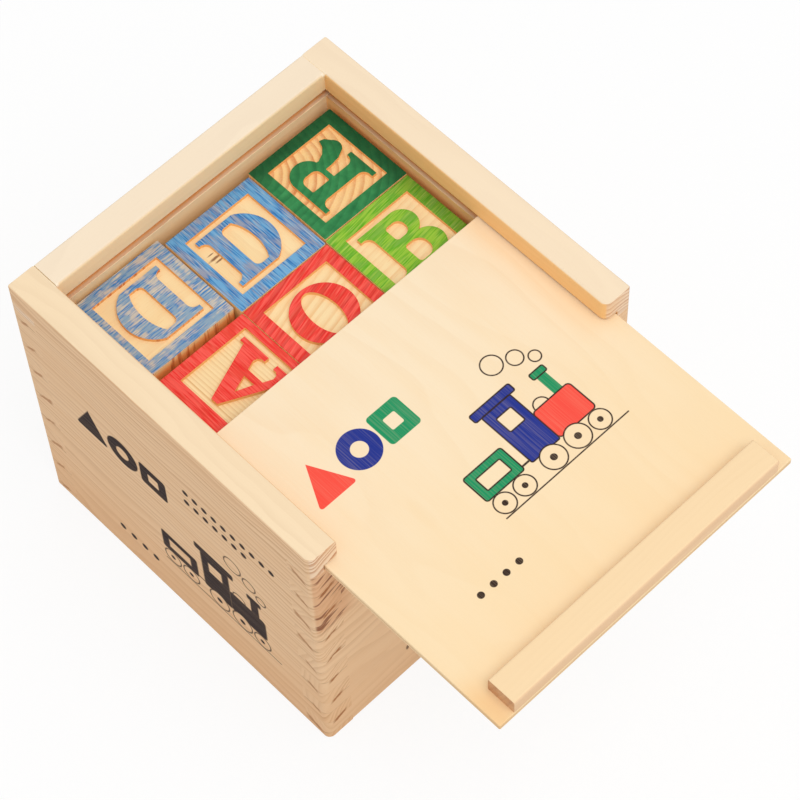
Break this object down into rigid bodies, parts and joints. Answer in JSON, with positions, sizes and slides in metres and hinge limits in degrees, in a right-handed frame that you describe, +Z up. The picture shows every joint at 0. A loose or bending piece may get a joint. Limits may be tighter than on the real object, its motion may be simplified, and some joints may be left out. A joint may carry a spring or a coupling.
{
  "type": "boxed alphabet block set",
  "caption": "Finger-jointed pine box with a sliding plywood lid, filled with painted wooden alphabet cubes that have raised letters and borders.",
  "frame": {"origin": "centre of the box's underside, on the surface that the box stands on", "axes": "+Z up, the lid draws out towards -Y, +X to the right seen from the open end"},
  "size_m": [0.1124, 0.1732, 0.1046],
  "materials": {
    "pine": "bare sanded pine",
    "thin_ply": "bare sanded plywood",
    "blue_block": "raised parts in thin blue paint, the rest bare pine",
    "red_block": "raised parts in thin red paint, the rest bare pine",
    "green_block": "raised parts in thin dark green paint, the rest bare pine",
    "lime_block": "raised parts in thin light green paint, the rest bare pine"
  },
  "bodies": {
    "box": {"left_wall": "pine", "right_wall": "pine", "back_wall": "pine", "front_wall": "pine", "bottom_panel": "thin_ply", "block_a": "red_block", "block_b": "lime_block", "block_c": "green_block", "block_e": "lime_block", "block_i": "blue_block", "block_j": "lime_block", "block_k": "red_block", "block_l": "blue_block", "block_m": "red_block", "block_n": "green_block", "block_o": "red_block", "block_s": "blue_block", "block_u": "green_block", "block_v": "blue_block", "block_w": "lime_block", "block_x": "red_block", "block_y": "green_block", "block_z": "blue_block"},
    "lid": {"lid_panel": "thin_ply", "pull_strip": "pine"},
    "block_p": {"block_p": "lime_block"},
    "block_f": {"block_f": "red_block"},
    "block_d_two": {"block_d_two": "blue_block"},
    "block_q": {"block_q": "blue_block"},
    "block_g": {"block_g": "green_block"},
    "block_d": {"block_d": "blue_block"},
    "block_t": {"block_t": "red_block"},
    "block_h": {"block_h": "lime_block"},
    "block_r": {"block_r": "green_block"}
  },
  "joints": [
    {"name": "lid_slide", "type": "slide", "parent": "box", "child": "lid", "axis": [0, -1, 0], "range_m": [-0.0616, 0.05]},
    {"name": "block_p_lift", "type": "slide", "parent": "box", "child": "block_p", "axis": [0, 0, 1], "range_m": [0, 0.105]},
    {"name": "block_f_lift", "type": "slide", "parent": "block_p", "child": "block_f", "axis": [0, 0, 1], "range_m": [0, 0.075]},
    {"name": "block_d_two_lift", "type": "slide", "parent": "block_f", "child": "block_d_two", "axis": [0, 0, 1], "range_m": [0, 0.045]},
    {"name": "block_q_lift", "type": "slide", "parent": "box", "child": "block_q", "axis": [0, 0, 1], "range_m": [0, 0.105]},
    {"name": "block_g_lift", "type": "slide", "parent": "block_q", "child": "block_g", "axis": [0, 0, 1], "range_m": [0, 0.075]},
    {"name": "block_d_lift", "type": "slide", "parent": "block_g", "child": "block_d", "axis": [0, 0, 1], "range_m": [0, 0.045]},
    {"name": "block_t_lift", "type": "slide", "parent": "box", "child": "block_t", "axis": [0, 0, 1], "range_m": [0, 0.105]},
    {"name": "block_h_lift", "type": "slide", "parent": "block_t", "child": "block_h", "axis": [0, 0, 1], "range_m": [0, 0.075]},
    {"name": "block_r_lift", "type": "slide", "parent": "block_h", "child": "block_r", "axis": [0, 0, 1], "range_m": [0, 0.045]}
  ]
}
